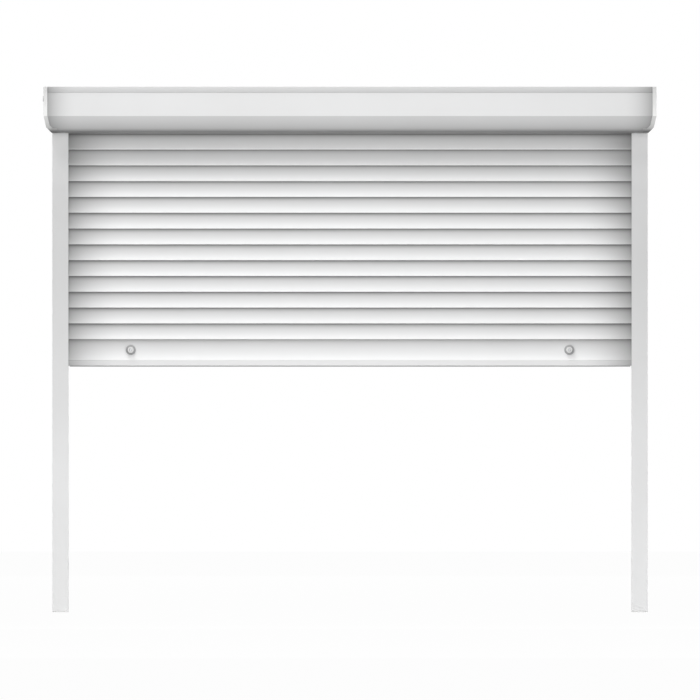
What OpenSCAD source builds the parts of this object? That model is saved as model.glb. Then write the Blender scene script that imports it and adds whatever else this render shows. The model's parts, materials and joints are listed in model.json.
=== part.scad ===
// Exterior roller shutter with a front-mounted box, guide rails and a motor-driven slat curtain.
// X runs across the shutter, Z is up, and the wall plane is y = 0 with the shutter in front of it (y < 0).
// The origin is the centre of the wall screw pattern, midway up the rails. The curtain is drawn half lowered.

/* [Overall] */
// Clear width between the two guide rails
clear_w = 1852; // [1200:2:2600]
// Height of the guide rails, up to the underside of the box
rail_h = 1575; // [1300:5:2200]
// Height of the roller box
box_h = 150; // [148:1:200]
// Depth of the roller box from the wall, over the end caps
box_d = 150; // [148:1:200]

/* [Roller box] */
// Thickness of the bent sheet of the box
sheet_t = 1.2; // [0.8:0.1:2]
// How far each end cap stands outside its rail
box_overhang = 26; // [18:1:40]
// Width of an end cap's rim, seen from the front
cap_w = 13; // [8:1:16]
// Wall of an end cap's side skin and rim
cap_wall = 3; // [2:0.5:5]
// How far the end caps stand proud of the front panel
cap_proud = 4; // [1:0.5:8]
// Height of the apron, the lower part of the front that leans in
apron_h = 54; // [40:1:60]
// Lean of the apron, in degrees from upright
apron_lean = 12.8; // [8:0.2:14]
// Radius of the rounding below the apron
apron_r = 16; // [10:1:24]
// Height of the sloped flange along the top of the front
flange_h = 20; // [14:1:26]
// How far the sloped flange leans back
flange_lean = 5; // [3:1:8]
// How far the flange's lower edge is set back from the front panel
flange_set = 4; // [2:0.5:6]
// Depth of the curtain slot in the underside, from the wall
slot_d = 30; // [28:1:36]
// Height of the hem beside the curtain slot
hem_h = 10; // [6:1:14]
// How far the panel's top edge tucks behind the flange
tuck_h = 12; // [8:1:16]
// Diameter of the panel screws
panel_screw_d = 4; // [3:0.5:5]

/* [Guide rails] */
// Width of a guide rail, seen from the front
rail_w = 53; // [48:1:66]
// Depth of a guide rail from the wall
rail_d = 22; // [22:1:30]
// Wall of the rail profiles
rail_wall = 1.6; // [1.2:0.1:2]
// Depth of the groove that the slats run in
groove_d = 30; // [27:1:32]
// Clearance between the sealing strips in the groove and the slats
seal_slide = 0.4; // [0.3:0.1:1]
// Width of the sealing strips
seal_w = 9.6; // [7:0.2:12]
// Diameter of the wall screw holes
wall_hole_d = 5.5; // [4:0.5:7]
// Vertical distance between the outer wall screw holes
wall_hole_span = 1200; // [900:10:1200]
// Thickness of the foot plate under a rail
foot_t = 3; // [2:0.5:5]
// Height of the infeed funnel on top of a rail
funnel_h = 26; // [20:1:34]

/* [Curtain] */
// Height that one slat covers
slat_pitch = 52; // [48:1:56]
// Thickness of a slat
slat_t = 11.4; // [10.4:0.1:11.8]
// Wall of the slat's skin
slat_wall = 1; // [0.8:0.1:1.2]
// Number of slats below the box, named slat_01 and on from the top
slat_count = 13; // [6:1:20]
// How far the slats enter the rail grooves
slat_entry = 20; // [16:1:21]
// How far the hollow front of a slat sinks in at its top
cove_depth = 7; // [5:0.5:7]
// Height of the straight lip at the bottom of a slat
slat_lip_h = 3; // [2:0.5:5]
// Gap between a slat's shoulder and the slat above
shoulder_gap = 2.5; // [1.5:0.5:3.5]
// Thickness of the end locks outside the slat ends
end_lock_t = 4; // [2:0.5:4]

/* [Bottom bar] */
// Height of the bottom bar
bar_h = 87; // [80:1:100]
// Height of the straight lip at the foot of the bar
bar_lip_h = 21; // [14:1:26]
// How far that lip stands back
bar_lip_set = 1.2; // [0.6:0.2:2]
// How far the rubber seal stands out below the bar
bar_seal_h = 3; // [2:0.5:6]

/* [Stoppers] */
// Distance of a stopper's centre from the edge of its rail
stopper_edge = 205; // [60:1:400]
// Height of the stoppers' centres above the bottom edge of the bar
stopper_z = 52; // [44:1:60]
// Diameter of a stopper's base
stopper_d = 33; // [26:1:36]
// Diameter of a stopper's nose
stopper_nose_d = 20; // [16:1:24]
// How far a stopper stands out from the wall side of the bar
stopper_l = 30; // [20:1:40]
// Diameter of a stopper's screw
stopper_screw_d = 4; // [3:0.5:5]

/* [Winding] */
// Size of the octagonal tube across its flats
tube_af = 40; // [38:1:44]
// Wall of the octagonal tube
tube_wall = 1; // [0.6:0.1:1.2]
// Number of slats wound on the tube, where the box has room for them
wound_count = 16; // [10:1:16]
// Thickness that a wound slat takes up
wound_t = 7; // [6:0.2:7]
// How much the winding grows in one turn
wind_step = 9.6; // [9.6:0.1:9.8]
// Diameter of the tubular motor
motor_d = 35; // [30:0.5:35]
// Length of the tubular motor inside the tube
motor_l = 498; // [400:1:600]
// Diameter of the motor's output shaft
motor_shaft_d = 10; // [8:0.5:12]
// Diameter of the idler pin
idler_pin_d = 12; // [10:0.5:14]
// Outside diameter of the ball bearing
bearing_d = 28; // [24:1:32]
// Width of the ball bearing
bearing_w = 8; // [7:0.5:10]

/* [Fits] */
// Clearance of pieces that are plugged together
plug_gap = 0.3; // [0.2:0.05:0.4]
// Clearance of a hook on the ledge that carries it
hook_gap = 0.3; // [0.2:0.05:0.4]
// Radial clearance of running shafts
run_gap = 0.06; // [0.03:0.01:0.09]
// Gap between the top of the lowered slats and the underside of the box
curtain_gap = 2; // [1:0.5:4]

/* [Hidden] */
$fn = 64;
eps = 0.5;

// Heights of the rails and the box
z_foot = -rail_h / 2;
z_box = rail_h / 2;
z_top = z_box + box_h;

// Places across the shutter, for the right-hand side
x_rail = clear_w / 2;
x_rail_out = x_rail + rail_w;
x_cap = x_rail_out + box_overhang;
x_panel = x_cap - cap_w;
x_web = x_rail + groove_d;
x_chamber = x_web + rail_wall;
x_slat = x_rail + slat_entry;
x_lock = x_slat + end_lock_t;
x_wall_hole = (x_chamber + x_rail_out - rail_wall) / 2;

// Front of the panel, and the bevel of the caps' lower outer corners
panel_front = box_d - cap_proud;
cap_corner_clear = 1;
cap_corner_in = box_overhang - cap_corner_clear;
cap_corner_h = 17;
cap_lean_in = (apron_h - cap_corner_h) * tan(apron_lean);
cap_bevel = atan((cap_corner_in - cap_lean_in) / cap_corner_h);

// The curtain plane is in the middle of the rails' depth
y_slat = -rail_d / 2;
seal_t = (rail_d - slat_t) / 2 - rail_wall - seal_slide;
z_curtain = z_box - curtain_gap;
z_bar = z_curtain - slat_count * slat_pitch - bar_h;

// Hook joint between two slats: a tongue with a barb hangs over a ledge
leg_t = 1;
ledge_t = 1.2;
neck_t = 1.2;
neck_slide = 0.8;
barb_hold = 1.2;
neck_back = leg_t + neck_slide - slat_t / 2;
ledge_tip = neck_back + neck_t + neck_slide;
barb_tip = ledge_tip + barb_hold;
barb_t = 1.4;
front_lip_t = 1.5;
cavity_h = 7.6;
lip_round = 1.2;

// Winding
half_facet = 180 / 8;
tube_corner = tube_af / 2 / cos(half_facet);
tube_seat = tube_af / 2 - tube_wall - plug_gap / 2;
wound_in = tube_corner + plug_gap + wound_t / 2;
wound_gap = 0.6;
wound_slide = 0.8;
wound_clear = 3;
wound_back = slat_t / 2 + wound_slide - y_slat;
wound_room = panel_front - sheet_t - wound_clear - wound_back;
wound_slat_count = wound_fit(wound_count);
wound_out = wound_reach(wound_slat_count);
y_axis = -wound_back - wound_out;
z_axis = z_box + box_h / 2;
tube_over = 9;
x_tube = x_slat + tube_over;
tube_end_gap = 3;
x_motor = x_tube + tube_end_gap;
x_crown = x_motor - motor_l;
crown_w = 20;
crown_gap = 5;
motor_shaft_in = 25;
limit_ring_w = 18;
head_w = 28;
head_d = 44;
head_groove_w = 3;
head_groove_h = 1.5;
head_groove_in = 6;
x_skin = x_cap - cap_wall;
bracket_d = 40;
bracket_t = 4;
bracket_boss_d = 36;
capsule_w = 50;
capsule_collar_t = 2;
pin_in = 30;
bearing_out = 18;
x_bearing = x_tube + bearing_out;
outer_ring_t = 3;
inner_ring_t = 2.5;
race_depth = 1;
holder_wall = 5;
holder_relief = 3;
hanger_w = 10;
hanger_l = 26;
hanger_t = 1.2;
hanger_edge = 96;
hanger_pairs = 3;

// Small parts
grommet_d = 14;
grommet_bore_d = 7;
grommet_flange_t = 2;
grommet_flange_w = 3;
grommet_front = 30;
grommet_y = grommet_front - box_d;
grommet_drop = 40;
plug_l = 15;
foam_gap = 2;
foot_block_h = 12;
spigot_l = 25;
spigot_side = 3;
spigot_w = x_rail_out - rail_wall - plug_gap - x_chamber - spigot_side;
panel_screw_in = 14;
panel_screw_x = x_rail + panel_screw_in;
panel_screw_y = -60;
panel_screw_l = 10;
screw_head_h = 2.5;
clip_t = 1.2;
clip_h = 2.4;
holding_rib_t = 1.4;
holding_rib_h = 2.2;
funnel_lip_t = 3;
funnel_tip_t = 1;
funnel_web_t = 3;
funnel_inset = 1;
groove_t = 5.4;
groove_neck_t = 3;
groove_lip_h = 1.4;
groove_h = 4;
seal_gap = 0.2;
seal_end = 4;
bar_front_t = 1.8;
bar_floor = 8;
stopper_x = x_rail - stopper_edge;
stopper_bore_d = stopper_screw_d + 2 * seal_gap;
stopper_base_l = 12;
stopper_shoulder = 2;
stopper_cone_l = 8;
stopper_recess_d = 10;
stopper_recess_h = 5;

WHITE = [0.93, 0.93, 0.93];
SLAT_WHITE = [0.9, 0.9, 0.9];
PLASTIC_WHITE = [0.88, 0.88, 0.87];
RUBBER = [0.16, 0.16, 0.17];
STOPPER_GREY = [0.66, 0.66, 0.66];
STEEL = [0.6, 0.61, 0.63];
ZINC = [0.72, 0.73, 0.75];
MOTOR_BLACK = [0.14, 0.14, 0.15];
FOAM = [0.86, 0.78, 0.55];

function two_digits(i) = i < 10 ? str("0", i) : str(i);
function slat_name(i) = str("slat_", two_digits(i));

// Extrude a (y, z) section along X between two places
module along_x(x0, x1) {
    translate([x0, 0, 0]) rotate([90, 0, 90]) linear_extrude(x1 - x0) children();
}

// Extrude an (x, z) section along Y, from the front to the wall
module along_y(y0, y1) {
    translate([0, y1, 0]) rotate([90, 0, 0]) linear_extrude(y1 - y0) children();
}

// A section drawn with its front towards +x, turned to face the front of the shutter
module facing_front(z0) {
    translate([y_slat, z0]) mirror([1, 0]) children();
}

// The same piece on the left-hand side
module on_left() {
    mirror([1, 0, 0]) children();
}

// A round piece along X, centred on the winding axis
module on_axis(x0, x1, r) {
    translate([x0, y_axis, z_axis]) rotate([0, 90, 0]) cylinder(r = r, h = x1 - x0);
}

// An octagonal piece along X, centred on the winding axis, with flats facing the wall
module octagon_on_axis(x0, x1, apothem) {
    translate([x0, y_axis, z_axis]) rotate([0, 90, 0]) rotate([0, 0, half_facet])
        cylinder(r = apothem / cos(half_facet), h = x1 - x0, $fn = 8);
}

// What the leaning apron and its rounding cut from a lower corner at (0, 0), drawn in by an inset
module apron_corner(r, inset) {
    inner_r = max(r - inset, eps);
    reach = (r + (apron_h - r) * sin(apron_lean)) / cos(apron_lean);
    kink = apron_h + inset * tan(apron_lean / 2);
    difference() {
        translate([-eps, -2 * eps]) square([reach + eps, kink + 2 * eps]);
        translate([reach, r]) circle(r = inner_r, $fn = 128);
        polygon([
            [inset, kink], [reach - inner_r * cos(apron_lean), r - inner_r * sin(apron_lean)],
            [reach, r], [reach, kink]
        ]);
    }
}

// Side section of the box, in (y, z), with the apron and the sloped flange, which may be set back
module box_face(front, inset, set_back = 0) {
    rise = flange_h / flange_lean;
    flange_y = set_back + inset - front;
    difference() {
        translate([inset - front, z_box + inset]) square([front - 2 * inset, box_h - 2 * inset]);
        translate([-front, z_box]) apron_corner(apron_r, inset);
        polygon([
            [-front - eps, z_top - flange_h], [flange_y, z_top - flange_h],
            [flange_y + flange_lean + eps, z_top + eps * rise], [-front - eps, z_top + eps * rise]
        ]);
    }
}

// What the lean and the bevel cut from a cap's lower corner at (0, 0), drawn in by an inset
module end_corner(inset) {
    turn = cap_bevel - apron_lean;
    bevel_x = cap_lean_in + inset * (sin(cap_bevel) - sin(apron_lean)) / sin(turn);
    bevel_z = cap_corner_h + inset * (cos(apron_lean) - cos(cap_bevel)) / sin(turn);
    foot_x = cap_corner_in + inset * (1 - sin(cap_bevel)) / cos(cap_bevel);
    kink = apron_h + inset * tan(apron_lean / 2);
    polygon(concat(
        [[-eps, -2 * eps], [-eps, kink], [inset, kink], [bevel_x, bevel_z], [foot_x, inset]],
        inset > 0 ? [[foot_x + inset, inset]] : [],
        [[foot_x + inset, -2 * eps]]
    ));
}

// Front outline of one end of the box, in (x, z), which leans in towards the rail as the apron does
module box_end(inset) {
    difference() {
        translate([0, z_box - eps]) square([x_cap - inset, box_h + 2 * eps]);
        translate([x_cap, z_box]) mirror([1, 0]) end_corner(inset);
    }
}

// Cut a piece of the box to the rounded inside of both end caps
module between_caps() {
    intersection() {
        children();
        along_y(-box_d, 0) {
            box_end(cap_w + plug_gap);
            mirror([1, 0]) box_end(cap_w + plug_gap);
        }
    }
}

// Back, top and sloped front flange, bent from one sheet
module box_shell() {
    color(WHITE)
    between_caps() along_x(-x_panel, x_panel) difference() {
        box_face(panel_front, 0, flange_set);
        box_face(panel_front, sheet_t, flange_set);
        translate([-panel_front - eps, z_box - eps])
            square([panel_front - sheet_t + eps, box_h - flange_h + eps]);
    }
}

// Front sheet with the apron and the underside, up to the curtain slot
module panel_section() {
    panel_top = z_top - flange_h - plug_gap;
    tuck_y = flange_set + flange_lean * tuck_h / flange_h + sheet_t + plug_gap - panel_front;
    difference() {
        box_face(panel_front, 0, flange_set);
        box_face(panel_front, sheet_t, flange_set);
        translate([-panel_front - eps, panel_top]) square([panel_front + 2 * eps, flange_h + 2 * eps]);
        translate([-slot_d, z_box - eps]) square([slot_d + eps, box_h + eps]);
    }
    translate([-slot_d - sheet_t, z_box]) square([sheet_t, hem_h]);
    // The top edge turns in below the flange and tucks behind it
    translate([-panel_front, panel_top - sheet_t]) square([tuck_y + sheet_t + panel_front, sheet_t]);
    translate([tuck_y, panel_top - sheet_t]) square([sheet_t, tuck_h]);
}

module front_panel() {
    color(WHITE)
    difference() {
        between_caps() along_x(-x_panel, x_panel) panel_section();
        panel_screw_places() cylinder(d = panel_screw_d + plug_gap, h = panel_screw_l, center = true);
    }
}

// Where the panel is screwed to the feet of the end caps, from below
module panel_screw_places() {
    for (side = [-1, 1]) translate([side * panel_screw_x, panel_screw_y, z_box]) children();
}

module panel_screws() {
    color(STEEL)
    panel_screw_places() {
        translate([0, 0, -screw_head_h]) cylinder(d = 2 * panel_screw_d, h = screw_head_h);
        translate([0, 0, -eps]) cylinder(d = panel_screw_d, h = panel_screw_l + eps);
    }
}

// Moulded end cap: side skin, rim, locating rib, and a foot that carries the box on the rail
module end_cap() {
    color(PLASTIC_WHITE)
    difference() {
        union() {
            intersection() {
                along_x(0, x_cap) box_face(box_d, 0);
                along_y(-box_d, 0) difference() {
                    box_end(0);
                    box_end(cap_w);
                }
            }
            cap_foot();
            cap_screw_block();
        }
        // The hollow behind the rim leaves the side skin
        intersection() {
            along_x(0, x_cap) box_face(box_d, cap_wall);
            along_y(-box_d - eps, eps) difference() {
                box_end(cap_wall);
                translate([0, z_box - 2 * eps]) square([x_rail_out, apron_h]);
                translate([0, z_box - 2 * eps]) square([x_panel, foot_block_h + 2 * eps]);
            }
        }
        panel_screw_places() cylinder(d = panel_screw_d + 2 * run_gap, h = 2 * panel_screw_l, center = true);
    }
}

// Foot inside the box with a spigot that plugs into the rail's chamber
module cap_foot() {
    foot_y0 = -rail_d + rail_wall + plug_gap;
    foot_d = rail_d - 2 * rail_wall - 2 * plug_gap;
    intersection() {
        translate([x_chamber + spigot_side, foot_y0, z_box]) cube([x_cap - x_chamber, foot_d, foot_block_h]);
        along_y(-box_d, 0) box_end(0);
    }
    translate([x_chamber + spigot_side, foot_y0, z_box - spigot_l])
        cube([spigot_w, foot_d, spigot_l + eps]);
}

// Arm above the panel's underside that takes the panel screw
module cap_screw_block() {
    arm_w = 16;
    arm_z = z_box + sheet_t + plug_gap;
    intersection() {
        translate([panel_screw_x - arm_w / 2, panel_screw_y - arm_w / 2, arm_z])
            cube([x_cap - panel_screw_x, arm_w, foot_block_h - sheet_t - plug_gap]);
        along_y(-box_d, 0) box_end(0);
    }
}

module end_cap_right() {
    end_cap();
}

module end_cap_left() {
    difference() {
        on_left() end_cap();
        color(PLASTIC_WHITE) grommet_place() cylinder(d = grommet_d, h = 4 * cap_wall, center = true);
    }
}

module grommet_place() {
    translate([-x_cap + cap_wall / 2, grommet_y, z_top - grommet_drop]) rotate([0, 90, 0]) children();
}

// Rubber ring in the motor cable's way out
module cable_grommet() {
    groove = plug_gap / 2;
    ring_r = grommet_d / 2 - groove;
    color(RUBBER)
    grommet_place() rotate_extrude() {
        translate([grommet_bore_d / 2, -cap_wall / 2 - grommet_flange_t])
            square([ring_r - grommet_bore_d / 2, cap_wall + 2 * grommet_flange_t]);
        for (z = [cap_wall / 2 + groove, -cap_wall / 2 - grommet_flange_t]) translate([ring_r - eps, z])
            square([grommet_flange_w, grommet_flange_t - groove]);
    }
}

// Rail base: wall face with the web that closes the groove, drilled for the wall screws
module rail_base() {
    color(WHITE)
    difference() {
        translate([0, 0, z_foot + foot_t]) linear_extrude(rail_h - foot_t) {
            translate([x_rail, -rail_wall]) square([rail_w - rail_wall - plug_gap, rail_wall]);
            translate([x_web, -rail_d + rail_wall + plug_gap])
                square([rail_wall, rail_d - rail_wall - plug_gap]);
            for (x = holding_rib_x) translate([x, -rail_wall - holding_rib_h])
                square([holding_rib_t, holding_rib_h + eps]);
        }
        for (z = [-wall_hole_span / 2, 0, wall_hole_span / 2])
            translate([x_wall_hole, eps, z]) rotate([90, 0, 0])
                cylinder(d = wall_hole_d, h = rail_wall + 2 * eps);
    }
}

// The holding ribs stand at both sides of the sealing strips
holding_rib_x = [x_rail, x_rail + holding_rib_t + seal_w + 2 * plug_gap];

// Rail cover: front face and outer side, clipped over the web of the base
module rail_cover() {
    color(WHITE)
    translate([0, 0, z_foot + foot_t]) linear_extrude(rail_h - foot_t) {
        translate([x_rail, -rail_d]) square([rail_w, rail_wall]);
        translate([x_rail_out - rail_wall, -rail_d]) square([rail_wall, rail_d]);
        for (x = holding_rib_x) translate([x, -rail_d + rail_wall - eps])
            square([holding_rib_t, holding_rib_h + eps]);
        for (x = [x_web - plug_gap - clip_t, x_web + rail_wall + plug_gap])
            translate([x, -rail_d + rail_wall - eps]) square([clip_t, clip_h + eps]);
    }
}

// Sealing strips that face the slats from the front and the back of the groove
module rail_seals() {
    color(RUBBER)
    translate([0, 0, z_foot + foot_t]) linear_extrude(rail_h - foot_t)
    for (y = [-rail_wall - seal_t, -rail_d + rail_wall])
        translate([x_rail + holding_rib_t + plug_gap, y]) square([seal_w, seal_t]);
}

// Funnel on the rail's top that leads the slats into the groove
module infeed_funnel() {
    straight = funnel_h / 2;
    front = -rail_d;
    back = -sheet_t - plug_gap;
    color(PLASTIC_WHITE)
    between_caps() union() {
        along_x(x_rail + funnel_inset, x_web - funnel_inset) {
            polygon([
                [front, z_box], [front + funnel_lip_t, z_box], [front + funnel_lip_t, z_box + straight],
                [front + funnel_tip_t, z_box + funnel_h], [front, z_box + funnel_h]
            ]);
            polygon([
                [back, z_box], [back - funnel_lip_t, z_box], [back - funnel_lip_t, z_box + straight],
                [back - funnel_tip_t, z_box + funnel_h], [back, z_box + funnel_h]
            ]);
        }
        along_x(x_web - funnel_inset - funnel_web_t, x_web - funnel_inset)
            translate([front, z_box]) square([back - front, funnel_h]);
    }
}

// Foot that closes the rail's lower end
module rail_foot() {
    color(PLASTIC_WHITE)
    union() {
        translate([x_rail, -rail_d, z_foot]) cube([rail_w, rail_d, foot_t]);
        translate([x_chamber + spigot_side, -rail_d + rail_wall + clip_h, z_foot])
            cube([spigot_w, rail_d - 2 * rail_wall - 2 * clip_h, foot_t + plug_l]);
    }
}

// Hollow front of a slat or bar: a long cove from the lip up to the sunken top
function cove_r(h, lip) = (pow(h - shoulder_gap - lip, 2) + cove_depth * cove_depth) / (2 * cove_depth);

module cove(h, lip, wall) {
    r = cove_r(h, lip);
    translate([slat_t / 2 - cove_depth + r, h - shoulder_gap]) circle(r = r + wall, $fn = 256);
}

// Outer skin of a slat or bar, filled in
module skin_section(h, lip) {
    difference() {
        translate([-slat_t / 2, 0]) square([slat_t, h - shoulder_gap]);
        cove(h, lip, 0);
    }
}

// The chamber inside the skin, above a floor
module chamber_section(h, lip, floor_h, front_t, gap) {
    difference() {
        translate([slat_wall + gap - slat_t / 2, floor_h + gap])
            square([
                slat_t - slat_wall - front_t - 2 * gap,
                h - shoulder_gap - slat_wall - floor_h - 2 * gap
            ]);
        cove(h, lip, front_t + gap);
    }
}

// Tongue and barb on top, which hang on the ledge of the slat above
module hook_section(h) {
    barb_z = h + ledge_t + hook_gap;
    translate([neck_back, h - shoulder_gap - eps]) square([neck_t, barb_z + barb_t - h + shoulder_gap + eps]);
    translate([neck_back, barb_z]) square([barb_tip - neck_back, barb_t]);
}

// Open groove at the bottom of a slat, with the ledge that carries the next hook
module hook_groove() {
    difference() {
        translate([leg_t - slat_t / 2, -eps]) square([slat_t - leg_t - front_lip_t, cavity_h + eps]);
        translate([ledge_tip, 0]) square([slat_t, ledge_t]);
    }
}

// Rounding of the lip's lower front edge
module lip_rounding(front) {
    difference() {
        translate([front - lip_round, -eps]) square([lip_round + eps, lip_round + eps]);
        translate([front - lip_round, lip_round]) circle(r = lip_round);
    }
}

module slat_section() {
    difference() {
        union() {
            skin_section(slat_pitch, slat_lip_h);
            hook_section(slat_pitch);
        }
        chamber_section(slat_pitch, slat_lip_h, cavity_h + slat_wall, slat_wall, 0);
        hook_groove();
        lip_rounding(slat_t / 2);
    }
}

function slat_z(i) = z_curtain - i * slat_pitch;

module slat(i) {
    color(SLAT_WHITE) along_x(-x_slat, x_slat) facing_front(slat_z(i)) slat_section();
}

// The two slats between the winding and the top of the curtain
module infeed_slats() {
    for (i = [0, -1]) slat(i);
}

// Foam filling of the slats, between the end locks
module foam_cores() {
    color(FOAM)
    for (i = [1:slat_count])
        along_x(plug_l + foam_gap - x_slat, x_slat - plug_l - foam_gap) facing_front(slat_z(i))
            chamber_section(slat_pitch, slat_lip_h, cavity_h + slat_wall, slat_wall, seal_gap);
}

// Plastic locks plugged into the slat ends, which keep the slats from shifting sideways
module end_locks() {
    color(PLASTIC_WHITE)
    for (side = [0, 1], i = [1:slat_count]) mirror([side, 0, 0]) {
        along_x(x_slat - plug_l, x_slat + eps) facing_front(slat_z(i))
            chamber_section(slat_pitch, slat_lip_h, cavity_h + slat_wall, slat_wall, seal_gap);
        along_x(x_slat, x_lock) facing_front(slat_z(i)) difference() {
            skin_section(slat_pitch, slat_lip_h);
            translate([-slat_t / 2, -eps]) square([slat_t, cavity_h + eps]);
        }
    }
}

// Slot under the bar for the foot of the rubber seal, and the foot itself, drawn in by a gap
module seal_foot(gap) {
    translate([-bar_lip_set / 2, 0]) {
        translate([-groove_neck_t / 2 + gap, -eps])
            square([groove_neck_t - 2 * gap, groove_h + eps - gap]);
        translate([-groove_t / 2 + gap, groove_lip_h + gap])
            square([groove_t - 2 * gap, groove_h - groove_lip_h - 2 * gap]);
    }
}

// Face of the bar: a slat-like cove above a straight lip that stands back
module bar_skin() {
    difference() {
        skin_section(bar_h, bar_lip_h);
        translate([slat_t / 2 - bar_lip_set, -eps]) square([bar_lip_set + eps, bar_lip_h - slat_lip_h + eps]);
    }
}

module bar_section() {
    difference() {
        union() {
            bar_skin();
            hook_section(bar_h);
        }
        chamber_section(bar_h, bar_lip_h, bar_floor, bar_front_t + bar_lip_set, 0);
        seal_foot(0);
        lip_rounding(slat_t / 2 - bar_lip_set);
    }
}

module stopper_place(side) {
    translate([side * stopper_x, y_slat, z_bar + stopper_z]) rotate([90, 0, 0]) children();
}

module stopper_places() {
    for (side = [-1, 1]) stopper_place(side) children();
}

module bottom_bar() {
    color(SLAT_WHITE)
    difference() {
        along_x(-x_slat, x_slat) facing_front(z_bar) bar_section();
        stopper_places() cylinder(d = stopper_screw_d, h = slat_t);
    }
}

// Rubber strip that meets the sill
module bar_seal() {
    bulb_r = groove_t / 2;
    color(RUBBER)
    along_x(-x_rail + seal_end, x_rail - seal_end) facing_front(z_bar) {
        seal_foot(seal_gap);
        translate([-bar_lip_set / 2, 0]) intersection() {
            translate([0, bulb_r - bar_seal_h]) circle(r = bulb_r);
            translate([-bulb_r, -bar_seal_h]) square([2 * bulb_r, bar_seal_h]);
        }
    }
}

// Plugs in the ends of the bottom bar
module bar_plug() {
    color(PLASTIC_WHITE)
    union() {
        along_x(x_slat - plug_l, x_slat + eps) facing_front(z_bar)
            chamber_section(bar_h, bar_lip_h, bar_floor, bar_front_t + bar_lip_set, seal_gap);
        along_x(x_slat, x_lock) facing_front(z_bar) bar_skin();
    }
}

// Turned stopper whose base follows the face of the bar
module stopper() {
    r = stopper_d / 2;
    nose_r = stopper_nose_d / 2;
    cone_l = stopper_base_l + stopper_cone_l;
    rotate_extrude(convexity = 4) difference() {
        union() {
            square([r, stopper_base_l]);
            square([nose_r, stopper_l]);
            polygon([
                [0, stopper_base_l], [r - stopper_shoulder, stopper_base_l],
                [nose_r, cone_l], [0, cone_l]
            ]);
        }
        translate([0, -eps]) square([stopper_bore_d / 2, stopper_l + 2 * eps]);
        translate([0, stopper_l - stopper_recess_h])
            square([stopper_recess_d / 2, stopper_recess_h + eps]);
    }
}

module stopper_at(side) {
    color(STOPPER_GREY)
    difference() {
        stopper_place(side) stopper();
        along_x(side * stopper_x - stopper_d, side * stopper_x + stopper_d) facing_front(z_bar) bar_skin();
    }
}

module stopper_screws() {
    color(STEEL)
    stopper_places() {
        translate([0, 0, stopper_l - stopper_recess_h]) cylinder(d = 2 * stopper_screw_d, h = screw_head_h);
        cylinder(d = stopper_screw_d - seal_gap, h = stopper_l - stopper_recess_h + eps);
    }
}

// Octagonal tube that winds the curtain
module winding_tube() {
    color(ZINC)
    difference() {
        octagon_on_axis(-x_tube, x_tube, tube_af / 2);
        octagon_on_axis(-x_tube - eps, x_tube + eps, tube_af / 2 - tube_wall);
    }
}

// Angle at which a wound slat starts, counted from the tube outwards
function wound_r(angle) = wound_in + wind_step * angle / 360;
function wound_angle(r) = slat_pitch / r * 180 / PI;
function wound_starts(n, angle = 0) =
    n == 0 ? [angle] : concat([angle], wound_starts(n - 1, angle + wound_angle(wound_r(angle))));

// Radius of a winding of n slats, and how many of n slats the box has room for
function wound_reach(n) = wound_r(wound_starts(n)[n - 1]) + wound_t / 2;
function wound_fit(n) = n == 1 || 2 * wound_reach(n) <= wound_room ? n : wound_fit(n - 1);

// A bent length of slat between two angles, grown inwards by a wall to give its hollow
module bent_slat(r, angle, wall, end) {
    turn = wall / r * 180 / PI;
    rotate([0, 0, turn])
        rotate_extrude(angle = angle - 2 * turn)
            translate([r - wound_t / 2 + wall, -x_slat - end])
                square([wound_t - 2 * wall, 2 * (x_slat + end)]);
}

// Slats on the tube, each bent to the radius at which it lies
module wound_slats() {
    starts = wound_starts(wound_slat_count);
    last = starts[wound_slat_count];
    color(SLAT_WHITE)
    translate([0, y_axis, z_axis]) rotate([0, 90, 0])
    for (i = [0:wound_slat_count - 1]) {
        r = wound_r(starts[i]);
        gap = wound_gap / r * 180 / PI;
        angle = starts[i + 1] - starts[i] - gap;
        rotate([0, 0, 90 + last - starts[i + 1] + gap / 2]) difference() {
            bent_slat(r, angle, 0, 0);
            bent_slat(r, angle, slat_wall, eps);
        }
    }
}

// Spring clips on the tube's flats that hold the first wound slat
module slat_hangers() {
    color(STEEL)
    for (pair = [1:hanger_pairs], side = [-1, 1]) {
        x = side * (x_slat - hanger_edge) * pair / hanger_pairs;
        translate([x - hanger_l / 2, y_axis - hanger_w / 2, z_axis + tube_af / 2])
            cube([hanger_l, hanger_w, hanger_t]);
    }
}

// Tubular motor in the left end, its head and the bracket on the end cap
module motor_bracket() {
    color(ZINC)
    union() {
        on_axis(-x_skin, -x_skin + bracket_t, bracket_d / 2);
        on_axis(-x_skin + bracket_t - eps, -x_motor - head_w, bracket_boss_d / 2);
    }
}

module motor_head() {
    color(MOTOR_BLACK)
    difference() {
        on_axis(-x_motor - head_w, -x_motor, head_d / 2);
        for (x = [head_groove_in - x_motor - head_w, -x_motor - head_groove_in - head_groove_w]) difference() {
            on_axis(x, x + head_groove_w, head_d / 2 + eps);
            on_axis(x - eps, x + head_groove_w + eps, head_d / 2 - head_groove_h);
        }
    }
}

module motor_body() {
    color(WHITE)
    difference() {
        on_axis(-x_motor, -x_crown, motor_d / 2);
        on_axis(-x_crown - motor_shaft_in - crown_gap, -x_crown + eps, motor_shaft_d / 2 + run_gap);
    }
}

module motor_shaft() {
    color(STEEL) on_axis(-x_crown - motor_shaft_in, -x_crown + crown_gap + crown_w, motor_shaft_d / 2);
}

module drive_crown() {
    color(MOTOR_BLACK)
    difference() {
        octagon_on_axis(-x_crown + crown_gap, -x_crown + crown_gap + crown_w, tube_seat);
        on_axis(-x_crown, -x_crown + crown_w + 2 * crown_gap, motor_shaft_d / 2 + run_gap);
    }
}

module limit_ring() {
    color(MOTOR_BLACK)
    difference() {
        octagon_on_axis(-x_tube, -x_tube + limit_ring_w, tube_seat);
        on_axis(-x_tube - eps, -x_tube + limit_ring_w + eps, motor_d / 2 + run_gap);
    }
}

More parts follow.
